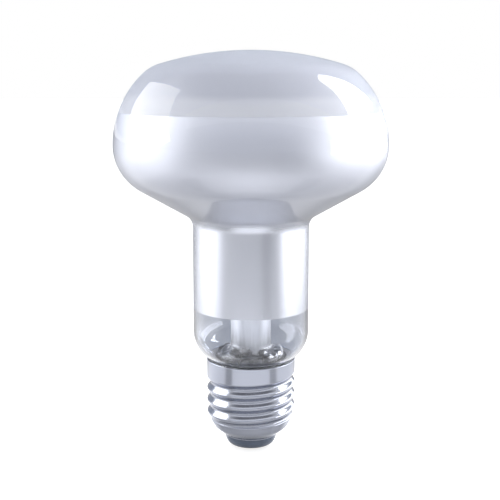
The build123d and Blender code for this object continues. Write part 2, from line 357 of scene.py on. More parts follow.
def drawn_glass(nodes):
    """Thick drawn glass of the stem, with cords along it and a mist of the film's metal at its top."""
    cords = nodes.grain(420.0, 3.0, (1.0, 1.0, 0.06))
    ripple = nodes.bump(cords, 0.35, 0.0004)
    clear = {
        "Base Color": nodes.mix(cords, opaque(colours().glass, 0.97), (1.0, 1.0, 1.0, 1.0)),
        "Roughness": 0.02 + cords * 0.05,
        "IOR": 1.58,
        "Transmission Weight": 1.0,
        "Normal": ripple,
    }
    silvered = {
        "Base Color": nodes.shades(cords, colours().silver, 0.9, 1.0),
        "Metallic": 1.0,
        "Roughness": 0.35 + cords * 0.1,
        "Normal": ripple,
    }
    height = nodes.place().also("Z")
    edge = bpy.context.scene.bulb_sizes.film_bottom
    streaks = (cords - 0.5) * 0.008
    share = nodes.step(height + streaks, edge - 0.016, edge - 0.003)
    sockets = {
        0: share,
        1: nodes.add("ShaderNodeBsdfPrincipled", {}, clear),
        2: nodes.add("ShaderNodeBsdfPrincipled", {}, silvered),
    }
    return nodes.add("ShaderNodeMixShader", {}, sockets)


def frosted_glass(nodes):
    """Etched inside of the dome, a fine pale grain, paler beside the film's edge with a painted glow that
    stands in for the film lighting it from behind.
    """
    mottle = nodes.grain(28.0, 2.0)
    grit = nodes.grain(5200.0, 2.0)
    height = nodes.place().also("Z")
    edge = bpy.context.scene.bulb_sizes.film_top
    # Painted glow: a band of the frost just above the film's edge is paler
    rim = nodes.step(height, edge + 0.0058, edge + 0.0034)
    dome = nodes.shades(mottle, colours().frost, 0.96, 1.04)
    return {
        "Base Color": nodes.mix(rim, dome, opaque(colours().frost_painted_glow)),
        "Roughness": 0.5 + grit * 0.2,
        "IOR": 1.5,
        "Transmission Weight": 0.08,
        "Normal": nodes.bump(grit, 0.25, 0.00006),
    }


def satin_film(nodes):
    """Satin aluminium film with soft blotches, smoother in the neck than in the bowl, and darker in the neck
    with painted shade.
    """
    cloud = nodes.grain(60.0, 3.0)
    grit = nodes.grain(2600.0, 2.0)
    height = nodes.place().also("Z")
    neck_top, bowl_foot = 0.066, 0.076
    bowl = nodes.step(height, neck_top, bowl_foot)
    film = nodes.shades(cloud, colours().film, 0.97, 1.04)
    return {
        # Painted shade: the film is a tenth darker in the neck than in the bowl
        "Base Color": nodes.mix(bowl, opaque(colours().film, 0.9), film),
        "Metallic": 1.0,
        "Roughness": 0.22 + bowl * 0.2 + cloud * 0.04,
        "Normal": nodes.bump(grit, 0.08, 0.00004),
    }


def bright_mirror(nodes):
    """Inner face of the film, brighter than the face against the glass."""
    cloud = nodes.grain(60.0, 3.0)
    return {
        "Base Color": nodes.shades(cloud, colours().mirror, 0.97, 1.03),
        "Metallic": 1.0,
        "Roughness": 0.2 + cloud * 0.1,
    }


def rolled_metal(nodes):
    """Bright rolled sheet: fine rolling lines, duller in the groove, and darker there with painted shade."""
    lines = nodes.grain(1.0, 4.0, (60.0, 60.0, 3800.0))
    scuff = nodes.grain(700.0, 4.0)
    groove = nodes.add("ShaderNodeAttribute", {"attribute_name": "groove"}, {}, "Fac")
    # Painted shade: the sheet is darker in the groove, unevenly by the scuff noise, and also rougher there
    dull_and_shaded = groove * (0.4 + scuff * 0.6)
    return {
        "Base Color": nodes.shades(dull_and_shaded, colours().cap, 1.0, 0.8),
        "Metallic": 1.0,
        "Roughness": 0.09 + lines * 0.07 + dull_and_shaded * 0.1,
        "Normal": nodes.bump(lines, 0.12, 0.00006),
    }


# Finishes of one colour with one grain: colour, grain, shades of the colour, roughness and its spread,
# strength and depth of the relief, and other values of the shader
metal = {"Metallic": 1.0}
wire_look = ((3000.0, 3.0, (1.0, 1.0, 0.08)), (0.75, 1.15), (0.25, 0.2), (0.15, 0.00003), metal)
swirl = (240.0, 3.0, (1.0, 1.0, 2.5))
grained_finishes = {
    "dark_glass": ("insulator", swirl, (0.7, 1.5), (0.08, 0.1), (0.15, 0.0002), {"Coat Weight": 0.5}),
    "pressed_brass": ("brass", (420.0, 5.0), (0.6, 1.15), (0.2, 0.25), (0.15, 0.00005), metal),
    "dull_solder": ("solder", (900.0, 4.0), (0.75, 1.1), (0.22, 0.25), (0.3, 0.00008), metal),
    "baked_cement": ("cement", (1800.0, 5.0), (0.6, 1.2), (0.85, 0.0), (0.6, 0.0002), {}),
    "lead_wire": ("lead", *wire_look),
    "support_wire": ("support", *wire_look),
    "filament_wire": ("filament", *wire_look),
}


def grained(nodes, colour, grain, shades, roughness, relief, others):
    """Sockets of a finish whose grain moves its shade, its roughness and its relief."""
    spots = nodes.grain(*grain)
    least, spread = roughness
    return others | {
        "Base Color": nodes.shades(spots, getattr(colours(), colour), *shades),
        "Roughness": least + spots * spread if spread else least,
        "Normal": nodes.bump(spots, *relief),
    }


def direction(tilt):
    """Unit vector at an angle, as (radius, height)."""
    return Vector((math.cos(tilt), math.sin(tilt)))


def arc(centre, radius, start, end, step=0.0008):
    """Points of an arc, as (radius, height), at most a step apart."""
    count = max(6, math.ceil(abs((end - start) * radius) / step))
    turns = [start + (end - start) * i / count for i in range(count + 1)]
    return [Vector(centre) + direction(turn) * radius for turn in turns]


def quarter(steps):
    """Angles of a quarter turn in a number of steps."""
    return [math.pi / 2 * i / steps for i in range(steps + 1)]


def divided(points, step=0.0025):
    """The same outline with its long straight runs divided."""
    points = [Vector(point) for point in points]
    result = [points[0]]
    for before, after in zip(points, points[1:]):
        count = max(1, math.ceil((after - before).length / step))
        result += [before.lerp(after, i / count) for i in range(1, count + 1)]
    return result


def level(points, height):
    """The same outline with a point added where it crosses a height."""
    result = [points[0]]
    for before, after in zip(points, points[1:]):
        if (before.y - height) * (after.y - height) < 0:
            result.append(before.lerp(after, (height - before.y) / (after.y - before.y)))
        result.append(after)
    return result


def bulb_outline(sizes, depth):
    """Outline of the glass at a depth below its outer face, from the crown to the tail's end."""
    widest = Vector((sizes.radius, sizes.crown - sizes.crown_rise))
    dome = Vector((0.0, sizes.crown - sizes.dome_radius))
    dome_tilt = math.acos((sizes.radius - sizes.dome_inset) / sizes.dome_radius)
    shoulder = dome + direction(dome_tilt) * (sizes.dome_radius - sizes.shoulder_radius)
    reach = shoulder - widest
    side_radius = (sizes.shoulder_radius**2 - reach.dot(reach)) / (2 * (reach.x + sizes.shoulder_radius))
    side = widest - Vector((side_radius, 0.0))
    side_tilt = math.atan2(shoulder.y - side.y, shoulder.x - side.x)
    lower = widest - Vector((sizes.lower_radius, 0.0))
    flank_tilt = sizes.flank - math.pi / 2
    flank_start = lower + direction(flank_tilt) * sizes.lower_radius
    fall = direction(flank_tilt - math.pi / 2)
    flank_foot = sizes.neck_radius + sizes.neck_fillet * (1 - math.cos(flank_tilt))
    flank_end = flank_start + fall * ((flank_foot - flank_start.x) / fall.x)
    fillet = flank_end + direction(flank_tilt) * sizes.neck_fillet
    base = Vector((sizes.neck_radius - sizes.base_radius, sizes.neck_end))
    tail_tilt = -math.acos((sizes.tail_radius - depth - base.x) / (sizes.base_radius - depth))
    points = arc(dome, sizes.dome_radius - depth, math.pi / 2, dome_tilt, 0.0012)
    points += arc(shoulder, sizes.shoulder_radius - depth, dome_tilt, side_tilt)[1:]
    points += arc(side, side_radius - depth, side_tilt, 0.0)[1:]
    points += arc(lower, sizes.lower_radius - depth, 0.0, flank_tilt)[1:]
    points += arc(fillet, -(sizes.neck_fillet + depth), flank_tilt, 0.0, 0.0004)
    points += arc(base, sizes.base_radius - depth, 0.0, tail_tilt, 0.0004)
    points.append((sizes.tail_radius - depth, sizes.tail_end))
    return divided(points)


def placed(name, mesh):
    """Links a new object that holds a mesh."""
    made = bpy.data.objects.new(name, mesh)
    bpy.context.scene.collection.objects.link(made)
    return made


def turned(name, points, segments, close=False, zone=None):
    """A piece turned about the axis from an outline of (radius, height) points, with closed poles."""
    shape = bmesh.new()
    spread = [2 * math.pi * k / segments for k in range(segments)]
    rings = []
    for radius, height in points:
        ring = [(radius * math.cos(turn), radius * math.sin(turn), height) for turn in spread]
        if radius < tolerance:
            ring = [(0.0, 0.0, height)]
        rings.append([shape.verts.new(corner) for corner in ring])
    pairs = list(zip(range(len(rings)), range(1, len(rings))))
    if close:
        pairs.append((len(rings) - 1, 0))
    for first, second in pairs:
        upper, lower = rings[first], rings[second]
        for k in range(segments):
            after = (k + 1) % segments
            corners = [upper[k % len(upper)], upper[after % len(upper)]]
            corners += [lower[after % len(lower)], lower[k % len(lower)]]
            face = shape.faces.new(list(dict.fromkeys(corners)))
            face.smooth = True
            face.material_index = zone(points[first], points[second], first) if zone else 0
    bmesh.ops.recalc_face_normals(shape, faces=shape.faces)
    mesh = bpy.data.meshes.new(name)
    shape.to_mesh(mesh)
    shape.free()
    mesh.set_sharp_from_angle(angle=math.radians(40))
    return placed(name, mesh)


def settled(made):
    """Turns an object and its modifiers into a plain mesh object of the same name."""
    name = made.name
    evaluated = made.evaluated_get(bpy.context.evaluated_depsgraph_get())
    mesh = bpy.data.meshes.new_from_object(evaluated)
    made.modifiers.clear()
    bpy.data.objects.remove(made)
    mesh.name = name
    result = placed(name, mesh)
    if not len(mesh.polygons):
        raise RuntimeError(f"{name} came out empty")
    return result


def seated(made, slot, nodes, *finishes):
    """Gives a piece its finishes, hides the nodes it stands for and sets the body it rides on. The slot is
    not used.
    """
    for finish in finishes:
        made.data.materials.append(finish)
    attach(made, "root")
    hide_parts(*nodes)


def rule(name, amounts, steps=(), path=True):
    """A Geometry Nodes tree with named inputs, and the wires that bring them."""
    kinds = {"Path": "NodeSocketGeometry"} if path else {}
    kinds |= dict.fromkeys(amounts, "NodeSocketFloat") | dict.fromkeys(steps, "NodeSocketInt")
    kinds["Finish"] = "NodeSocketMaterial"
    tree = bpy.data.node_groups.new(name, "GeometryNodeTree")
    for label, kind in kinds.items():
        tree.interface.new_socket(label, in_out="INPUT", socket_type=kind)
    tree.interface.new_socket("Geometry", in_out="OUTPUT", socket_type="NodeSocketGeometry")
    nodes = Nodes(tree)
    first = nodes.add("NodeGroupInput")
    return nodes, {label: first.also(label) for label in kinds}


def close_rule(nodes, geometry, finish):
    """Ends a tree: smooth faces, real geometry, a finish."""
    geometry = nodes.add("GeometryNodeSetShadeSmooth", {}, {"Geometry": geometry})
    geometry = nodes.add("GeometryNodeRealizeInstances", {}, {"Geometry": geometry})
    geometry = nodes.add("GeometryNodeSetMaterial", {}, {"Geometry": geometry, "Material": finish})
    nodes.add("NodeGroupOutput", {}, {"Geometry": geometry})


def follow(made, tree, values):
    """Puts a tree on an object and sets its inputs."""
    modifier = made.modifiers.new(tree.name, "NODES")
    modifier.node_group = tree
    for item in tree.interface.items_tree:
        if item.in_out == "INPUT" and item.name in values:
            modifier[item.identifier] = values[item.name]
    return settled(made)


def skinned(nodes, path, radius, sides):
    """A wire along a path, with its number of sides and with closed ends."""
    section = nodes.add("GeometryNodeCurvePrimitiveCircle", {}, {"Resolution": sides, "Radius": radius})
    sockets = {"Curve": path, "Profile Curve": section, "Fill Caps": True}
    skin = nodes.add("GeometryNodeCurveToMesh", {}, sockets)
    return nodes.add("GeometryNodeMergeByDistance", {}, {"Geometry": skin, "Distance": tolerance})


def wire_rule():
    """Tree that lays a round wire along a path, with its bends rounded."""
    nodes, given = rule("round_wire", ("Wire Radius", "Bend Radius"))
    sockets = {"Curve": given["Path"], "Count": 6, "Radius": given["Bend Radius"], "Limit Radius": True}
    path = nodes.add("GeometryNodeFilletCurve", {"mode": "POLY"}, sockets)
    close_rule(nodes, skinned(nodes, path, given["Wire Radius"], 12), given["Finish"])
    return nodes.tree


def coil_rule():
    """Tree that winds a fine coil round a path."""
    nodes, given = rule("filament_coil", ("Bend Radius", "Coil Radius", "Wire Radius", "Turns"), ("Steps",))
    sockets = {"Curve": given["Path"], "Count": 8, "Radius": given["Bend Radius"]}
    path = nodes.add("GeometryNodeFilletCurve", {"mode": "POLY"}, sockets)
    path = nodes.add("GeometryNodeResampleCurve", {"mode": "COUNT"}, {"Curve": path, "Count": given["Steps"]})
    turn = nodes.add("GeometryNodeSplineParameter", out="Factor") * given["Turns"] * (2 * math.pi)
    along = nodes.add("GeometryNodeInputTangent")
    up = nodes.add("ShaderNodeCombineXYZ", {}, {"Z": turn.math("SINE", turn) * given["Coil Radius"]})
    across = nodes.add("ShaderNodeVectorMath", {"operation": "CROSS_PRODUCT"}, {0: along, 1: (0.0, 0.0, 1.0)})
    scale = turn.math("COSINE", turn) * given["Coil Radius"]
    out = nodes.add("ShaderNodeVectorMath", {"operation": "SCALE"}, {"Vector": across, "Scale": scale})
    offset = nodes.add("ShaderNodeVectorMath", {"operation": "ADD"}, {0: up, 1: out})
    coil = nodes.add("GeometryNodeSetPosition", {}, {"Geometry": path, "Offset": offset})
    close_rule(nodes, skinned(nodes, coil, given["Wire Radius"], 6), given["Finish"])
    return nodes.tree


def titled(key):
    """A property's key as the name of a tree's input."""
    return key.replace("_", " ").title()


def shell_rule():
    """Tree that rolls the cap: a barrel with a rounded screw thread that runs out on the tapered end."""
    amounts = [titled(key) for key in shell_amounts]
    nodes, given = rule("rolled_shell", amounts, ("Around", "Along"), path=False)
    sockets = {"Size X": 1.0, "Size Y": 1.0, "Vertices X": given["Around"], "Vertices Y": given["Along"]}
    grid = nodes.add("GeometryNodeMeshGrid", {}, sockets)
    place = nodes.add("ShaderNodeSeparateXYZ", {}, {0: nodes.add("GeometryNodeInputPosition")})
    round_part = place + 0.5
    height = given["Rim"] - (0.5 - place.also("Y")) * (given["Rim"] - given["Mouth"])

    # Tapered end: two slopes, the lower one flatter
    upper_slope = (given["Radius"] - given["Knee Radius"]) / (given["Taper"] - given["Knee"])
    lower_slope = (given["Knee Radius"] - given["Mouth Radius"]) / (given["Knee"] - given["Mouth"])
    upper = given["Knee Radius"] + (height - given["Knee"]) * upper_slope
    lower = given["Knee Radius"] + (height - given["Knee"]) * lower_slope
    taper = upper.math("SMOOTH_MIN", upper, lower, given["Blend"])

    # Thread: the nearest groove's turn sets how far it has faded in
    climb = (height - given["Groove"]) / given["Pitch"] - round_part
    turn = climb.math("ROUND", climb) + round_part
    faded = nodes.step(turn, given["Fade"], 0.0)
    dip = (0.5 + 0.5 * climb.math("COSINE", climb * (2 * math.pi))) * faded
    barrel = given["Radius"] - dip * given["Depth"]
    radius = barrel.math("SMOOTH_MIN", barrel, taper, given["Blend"])

    spread = round_part * (2 * math.pi)
    sockets = {
        "X": radius * spread.math("COSINE", spread),
        "Y": radius * spread.math("SINE", spread),
        "Z": height,
    }
    position = nodes.add("ShaderNodeCombineXYZ", {}, sockets)
    settings = {"data_type": "FLOAT", "domain": "POINT"}
    sockets = {"Geometry": grid, "Name": "groove", "Value": dip}
    grid = nodes.add("GeometryNodeStoreNamedAttribute", settings, sockets)
    sheet = nodes.add("GeometryNodeSetPosition", {}, {"Geometry": grid, "Position": position})
    sheet = nodes.add("GeometryNodeMergeByDistance", {}, {"Geometry": sheet, "Distance": tolerance})
    close_rule(nodes, sheet, given["Finish"])
    return nodes.tree


def path_of(name, points):
    """A curve object of straight runs through points."""
    curve = bpy.data.curves.new(name, "CURVE")
    curve.dimensions = "3D"
    spline = curve.splines.new("POLY")
    spline.points.add(len(points) - 1)
    for knot, point in zip(spline.points, points):
        knot.co = (*point, 1.0)
    return placed(name, curve)


def around(degrees, radius, height):
    """Point at an azimuth, radius and height about the axis."""
    turn = math.radians(degrees)
    return Vector((radius * math.cos(turn), radius * math.sin(turn), height))


def clamped(value):
    """A number held between 0 and 1."""
    return min(1.0, max(0.0, value))


class BULB_OT_blow_glass(bpy.types.Operator):
    """Makes the clear envelope, frosted inside its dome"""

    bl_idname = "bulb.blow_glass"
    bl_label = "Blow Glass"

    def execute(self, context):
        sizes = context.scene.bulb_sizes
        outer = bulb_outline(sizes, 0.0)
        inner = level(bulb_outline(sizes, sizes.wall), sizes.film_top)
        points = outer + inner[::-1]

        def zone(before, after, index):
            return int(index >= len(outer) and min(before.y, after.y) > sizes.film_top - tolerance)

        made = turned("bulb_glass", points, sizes.segments, zone=zone)
        nodes = ("envelope_bowl", "envelope_neck", "envelope_tail")
        finishes = finish_of("clear_glass", clear_glass), finish_of("frosted_glass", frosted_glass)
        seated(made, "envelope_glass", nodes, *finishes)
        return {"FINISHED"}


class BULB_OT_coat_film(bpy.types.Operator):
    """Makes the mirror film inside the bowl and the neck"""

    bl_idname = "bulb.coat_film"
    bl_label = "Coat Film"

    def execute(self, context):
        sizes = context.scene.bulb_sizes
        loops = []
        for depth in (sizes.wall - sizes.film_bond, sizes.wall + sizes.film_thickness):
            points = level(level(bulb_outline(sizes, depth), sizes.film_top), sizes.film_bottom)
            low, high = sizes.film_bottom - tolerance, sizes.film_top + tolerance
            loops.append([point for point in points if low <= point.y <= high])
        count = len(loops[0])

        def zone(before, after, index):
            return int(count <= index < count + len(loops[1]) - 1)

        made = turned("mirror_film", loops[0] + loops[1][::-1], sizes.segments, close=True, zone=zone)
        finishes = finish_of("satin_film", satin_film), finish_of("bright_mirror", bright_mirror)
        seated(made, "mirror_film", ["reflector_coating"], *finishes)
        return {"FINISHED"}


class BULB_OT_draw_stem(bpy.types.Operator):
    """Makes the flared stem with its pinch, and the exhaust tube inside it"""

    bl_idname = "bulb.draw_stem"
    bl_label = "Draw Stem"

    def execute(self, context):
        sizes = context.scene.bulb_sizes
        glass = finish_of("drawn_glass", drawn_glass)
        seated(self.flare_stem(sizes), "stem_glass", ["glass_stem"], glass)
        seated(self.seal_tube(sizes), "stem_glass", ["exhaust_tube"], glass)
        return {"FINISHED"}

    def flare_stem(self, sizes):
        """Tube that turns out to its flare below, lumpy where it melted, and is pinched flat above."""
        low, high, flare = stem_box[0].z, stem_box[1].z, stem_box[1].x
        wall = sizes.stem_wall
        bore = sizes.stem_radius - wall
        middle = (sizes.stem_radius + flare) / 2
        bend = middle - sizes.stem_radius
        seam = Vector((middle, sizes.seal))
        collar = seam + Vector((0.0, 2 * bend))
        edge = sizes.stem_rounding
        step = 0.0003
        points = [(0.0, sizes.pinch_start), (bore, sizes.pinch_start)]
        points += arc(collar, bend + wall, math.pi, 1.5 * math.pi, step)
        points += arc(seam, bend - wall, math.pi / 2, 0.0, step)[1:]
        points += [(flare - wall, low), (flare, low)]
        points += arc(seam, bend, 0.0, math.pi / 2, step)
        points += arc(collar, bend, 1.5 * math.pi, math.pi, step)[1:]
        points += arc((sizes.stem_radius - edge, high - edge), edge, 0.0, math.pi / 2, 0.0002)
        points.append((0.0, high))
        made = turned("stem", divided(points, 0.0008), sizes.segments)

        melted = 1.6 * bend
        lump_scale, wave_scale = 300, 240
        lump_shift = Vector((3.0, 1.0, 0.0))
        squeeze = sizes.pinch_thickness / 2 / sizes.stem_radius
        for vertex in made.data.vertices:
            near = clamped(1 - abs(vertex.co.z - sizes.seal - bend) / melted)
            if vertex.co.xy.length > bore * 0.9:
                vertex.co.z += sizes.flare_lumps * near * noise.noise(vertex.co * lump_scale + lump_shift)
                vertex.co.xy *= 1 - sizes.flare_waves * near * abs(noise.noise(vertex.co * wave_scale))
            part = clamped((vertex.co.z - sizes.pinch_start) / sizes.pinch_run)
            vertex.co.y *= 1 + (squeeze - 1) * part * part * (3 - 2 * part)
        return made

    def seal_tube(self, sizes):
        """Tube with a sealed round end below, which stops a little short of the pinch."""
        gap = 0.00005
        tip, top, outer = tube_box[0].z, tube_box[1].z - gap, tube_box[1].x
        inner = outer - sizes.tube_wall
        bore_foot, bore_dip = tip + 0.0035, 0.0008
        points = [(outer * math.sin(t), tip + sizes.tube_tip * (1 - math.cos(t))) for t in quarter(14)]
        points += [(outer, top), (inner, top)]
        points += [(inner * math.cos(t), bore_foot - bore_dip * math.sin(t)) for t in quarter(14)]
        return turned("exhaust_tube_glass", divided(points, 0.002), segments=48)


class BULB_OT_lay_wires(bpy.types.Operator):
    """Makes the two leads and the three filament supports"""

    bl_idname = "bulb.lay_wires"
    bl_label = "Lay Wires"

    def execute(self, context):
        wires = context.scene.bulb_wires
        radii = {"lead": wires.lead_radius, "support": wires.support_radius}
        finishes = {kind: finish_of(f"{kind}_wire") for kind in radii}
        tree = wire_rule()
        for node, points in self.routes(wires).items():
            kind = node.split("_")[0]
            values = {"Wire Radius": radii[kind], "Bend Radius": wires.bend_radius, "Finish": finishes[kind]}
            made = follow(path_of(f"{node}_drawn", points), tree, values)
            seated(made, f"{kind}_metal", [node])
        return {"FINISHED"}

    def routes(self, wires):
        """Points of each wire, from its foot to the filament."""

        def hook(degrees):
            return around(degrees, wires.ring_radius, wires.ring_height)

        side, leave = wires.lead_offset, wires.lead_exit
        foot, pitch = wires.support_foot, wires.support_pitch
        contact, kink, rise = plate_box[1].z, 0.0076, 0.0106
        rim, crossing = shell_box[1].z, 0.0165
        weld_turn, weld_radius, duct_radius = 233.5, 0.0126, 0.0115
        return {
            "lead_wire_centre": [
                (0.0, 0.0, contact),
                (0.0, 0.0, kink),
                (side, 0.0, rise),
                (side, 0.0, leave),
                hook(45),
            ],
            "lead_wire_side": [
                around(weld_turn, weld_radius, rim),
                around(weld_turn, weld_radius, rim - 0.0003),
                around(weld_turn, duct_radius, rim - 0.001),
                around(weld_turn, duct_radius, crossing),
                (-side, 0.0, crossing),
                (-side, 0.0, leave),
                hook(135),
            ],
            "support_wire_left": [(-pitch, 0.0, foot), hook(180)],
            "support_wire_middle": [(0.0, 0.0, foot), hook(270)],
            "support_wire_right": [(pitch, 0.0, foot), hook(0)],
        }


class BULB_OT_wind_filament(bpy.types.Operator):
    """Winds the filament's coil round the ends of its wires"""

    bl_idname = "bulb.wind_filament"
    bl_label = "Wind Filament"

    def execute(self, context):
        wires = context.scene.bulb_wires
        hooks = (135, 180, 270, 360, 405)
        points = [around(degrees, wires.ring_radius, wires.ring_height) for degrees in hooks]
        values = {
            "Bend Radius": wires.coil_bend,
            "Coil Radius": wires.coil_radius,
            "Wire Radius": wires.coil_wire,
            "Turns": wires.coil_turns,
            "Steps": wires.coil_steps,
            "Finish": finish_of("filament_wire"),
        }
        made = follow(path_of("filament_coil", points), coil_rule(), values)
        seated(made, "filament_metal", ["filament"])
        return {"FINISHED"}


class BULB_OT_roll_cap(bpy.types.Operator):
    """Rolls the cap's shell with its thread and lower lip"""

    bl_idname = "bulb.roll_cap"
    bl_label = "Roll Cap"

    def execute(self, context):
        sizes = context.scene.bulb_cap
        rolled = finish_of("rolled_metal", rolled_metal)
        keys = (*shell_amounts, "around", "along")
        values = {titled(key): getattr(sizes, key) for key in keys} | {"Finish": rolled}
        made = follow(placed("cap_shell_rolled", bpy.data.meshes.new("sheet")), shell_rule(), values)
        self.face_out(made.data)
        wall = made.modifiers.new("sheet", "SOLIDIFY")
        wall.thickness = sizes.sheet
        wall.offset = -1.0
        made = settled(made)
        seated(made, "cap_metal", ["cap_shell"])

        inset, open_turn = 0.0001, math.pi / 8
        centre = (sizes.mouth_radius - inset, sizes.mouth + sizes.lip * 0.6)
        points = arc(centre, sizes.lip, 0.0, 2 * math.pi - open_turn, 0.0001)
        seated(turned("cap_lip", points, segments=144, close=True), "cap_metal", [], rolled)
        return {"FINISHED"}

    def face_out(self, mesh):
        """Turns the sheet's faces away from the axis."""
        shape = bmesh.new()
        shape.from_mesh(mesh)
        bmesh.ops.recalc_face_normals(shape, faces=shape.faces)
        level_part = Vector((1, 1, 0))
        if sum(face.normal.dot(face.calc_center_median() * level_part) for face in shape.faces) < 0:
            bmesh.ops.reverse_faces(shape, faces=shape.faces)
        shape.to_mesh(mesh)
        shape.free()


class BULB_OT_fit_contact(bpy.types.Operator):
    """Makes the dark insulator, the contact plate and its solder drop"""

    bl_idname = "bulb.fit_contact"
    bl_label = "Fit Contact"

    def execute(self, context):
        sizes = context.scene.bulb_cap
        insulator = self.mould_insulator(sizes)
        seated(insulator, "insulator_glass", ["cap_insulator"], finish_of("dark_glass"))
        seated(self.press_plate(sizes), "contact_brass", ["contact_plate"], finish_of("pressed_brass"))
        seated(self.drop_solder(sizes), "solder", ["centre_solder"], finish_of("dull_solder"))
        return {"FINISHED"}

    def mould_insulator(self, sizes):
        """Cone that fills the cap's tapered end and comes out of it with a rounded end."""
        top, foot = insulator_box[1].z, insulator_box[0].z
        reach = sizes.insulator_end - sizes.insulator_flat
        side_power, foot_power = 0.8, 1.1
        points = [(sizes.bore, top), (sizes.insulator_top, top), (sizes.insulator_knee, sizes.knee)]
        for t in quarter(20)[:-1]:
            radius = sizes.insulator_flat + reach * math.cos(t) ** side_power
            points.append((radius, foot + sizes.insulator_round * (1 - math.sin(t)) ** foot_power))
        points += [(sizes.insulator_flat, foot), (sizes.bore, foot)]
        return turned("insulator", divided(points, 0.0012), segments=128, close=True)

    def press_plate(self, sizes):
        """Disc with a rounded edge."""
        low, high, edge = plate_box[0].z, plate_box[1].z, plate_box[1].x
        half = (high - low) / 2
        points = [(sizes.bore, high)]
        points += arc((edge - half, low + half), half, math.pi / 2, -math.pi / 2, 0.00005)
        points.append((sizes.bore, low))
        return turned("contact_disc", divided(points, 0.0008), segments=96, close=True)

    def drop_solder(self, sizes):
        """Drop under the plate with an uneven edge, and its plug in the bore."""
        low, top, reach = plate_box[0].z, drop_box[1].z, drop_box[1].x
        points = [(reach * math.sin(t), low * (1 - math.cos(t)) ** 2) for t in quarter(20)]
        points += [(sizes.bore, low), (sizes.bore, top), (0.0, top)]
        made = turned("solder_drop", points, segments=72)
        wobble, wobble_scale = 0.12, 420
        for vertex in made.data.vertices:
            flat = Vector((vertex.co.x, vertex.co.y, 0.0))
            if vertex.co.z < low + tolerance and flat.length > sizes.bore + tolerance:
                vertex.co.xy *= min(1.0, 1 + wobble * noise.noise(flat * wobble_scale))
        return made


class BULB_OT_close_rim(bpy.types.Operator):
    """Makes the weld drop on the rim and the cement ring inside it"""

    bl_idname = "bulb.close_rim"
    bl_label = "Close Rim"

    def execute(self, context):
        seated(self.drop_weld(), "solder", ["side_weld"], finish_of("dull_solder"))
        ring = self.fill_cement(context.scene.bulb_sizes, context.scene.bulb_cap)
        seated(ring, "cement", ["cap_cement"], finish_of("baked_cement"))
        return {"FINISHED"}

    def drop_weld(self):
        """Lumpy drop, sunk a little into the rim."""
        low, high = weld_box
        seat = Vector(((low.x + high.x) / 2, (low.y + high.y) / 2, low.z))
        reach, rise, sunk = (high.x - low.x) / 2, high.z - low.z, 0.00005
        points = [(0.0, -sunk), (reach, -sunk)]
        points += [(reach * math.cos(t), rise * math.sin(t)) for t in quarter(12)]
        made = turned("weld_drop", points, segments=32)
        lumps, lump_scale = 0.35, 1400
        for vertex in made.data.vertices:
            vertex.co *= 1 + lumps * noise.noise(vertex.co * lump_scale)
            vertex.co += seat
        return made

    def fill_cement(self, sizes, cap):
        """Ring between the collar and the glass, dished a little under the rim."""
        clearance, sunk, dish = 0.00002, 0.00025, 0.0001
        low, top = cement_box[0].z, cap.rim - sunk
        outer = cap.radius - cap.sheet - clearance
        inner = sizes.tail_radius + clearance
        drop = sizes.neck_end - top
        bed = sizes.neck_radius - sizes.base_radius + math.sqrt(sizes.base_radius**2 - drop**2)
        points = [(outer, low), (outer, top), ((outer + bed) / 2, top - dish)]
        points += [(bed + clearance, top), (inner, tail_box[1].z), (inner, low)]
        return turned("cement_ring", points, sizes.segments, close=True)


